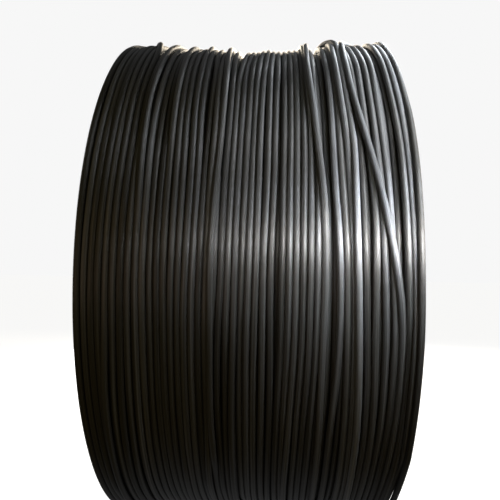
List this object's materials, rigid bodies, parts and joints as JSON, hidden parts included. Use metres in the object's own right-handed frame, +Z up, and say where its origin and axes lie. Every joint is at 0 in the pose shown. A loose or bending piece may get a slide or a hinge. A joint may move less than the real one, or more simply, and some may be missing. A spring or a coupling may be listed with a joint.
{
  "type": "coil of wire rod",
  "caption": "Layer-wound coil of round steel wire rod with an open bore, standing on its rim; raw stock for drawing, straightening or cutting to length.",
  "frame": {"origin": "on the floor, under the middle of the coil that stands on its rim", "axes": "+X along the coil's axis, +Z up; the side seen in the picture faces -Y"},
  "size_m": [0.4, 0.8064, 0.8064],
  "materials": {
    "rod_steel": "dark drawn steel with a thin mill scale, half gloss, drawn lengthwise"
  },
  "bodies": {
    "root": {"wire_coil": "rod_steel"}
  },
  "joints": []
}
